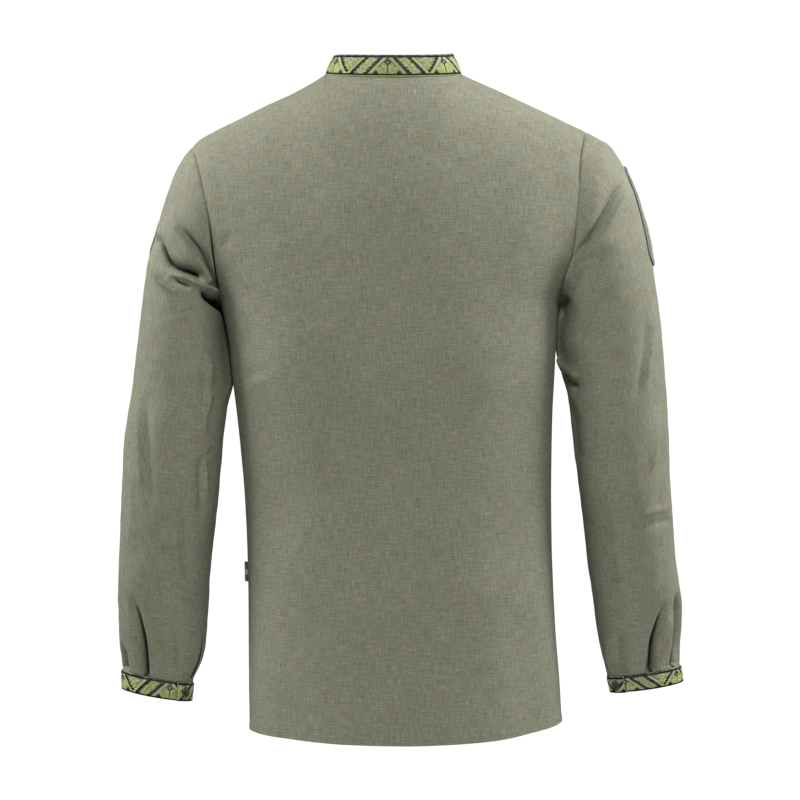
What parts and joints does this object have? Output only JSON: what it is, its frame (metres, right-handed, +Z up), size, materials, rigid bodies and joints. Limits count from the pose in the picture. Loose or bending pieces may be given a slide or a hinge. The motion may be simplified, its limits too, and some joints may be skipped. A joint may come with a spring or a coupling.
{
  "type": "shirt",
  "caption": "Band-collar linen vyshyvanka shirt in worn hollow form, long sleeves hanging, embroidered collar and buttoned cuffs, loop patches on the upper sleeves.",
  "frame": {"origin": "on the axis of the neck, at the height of the neck points where the shoulder seams meet the collar", "axes": "+Z up, the front of the shirt toward -Y, its back toward +Y, the wearer's left toward +X"},
  "size_m": [0.6492, 0.2668, 0.7761],
  "materials": {
    "linen": "plain-woven linen with slubs",
    "embroidered_band": "embroidered band",
    "loop_field": "brushed loop pile",
    "tab": "woven tape",
    "button": "satin"
  },
  "bodies": {
    "root": {"back": "linen", "front": "linen", "placket": "linen", "sleeve_left": "linen", "sleeve_right": "linen", "collar": "embroidered_band", "cuff_left": "embroidered_band", "cuff_right": "embroidered_band", "patch_left": "loop_field", "patch_right": "loop_field", "label_side": "tab", "button_collar": "button", "button_cuff_left": "button", "button_cuff_right": "button", "button_front_1": "button", "button_front_2": "button", "button_front_3": "button"}
  },
  "joints": []
}
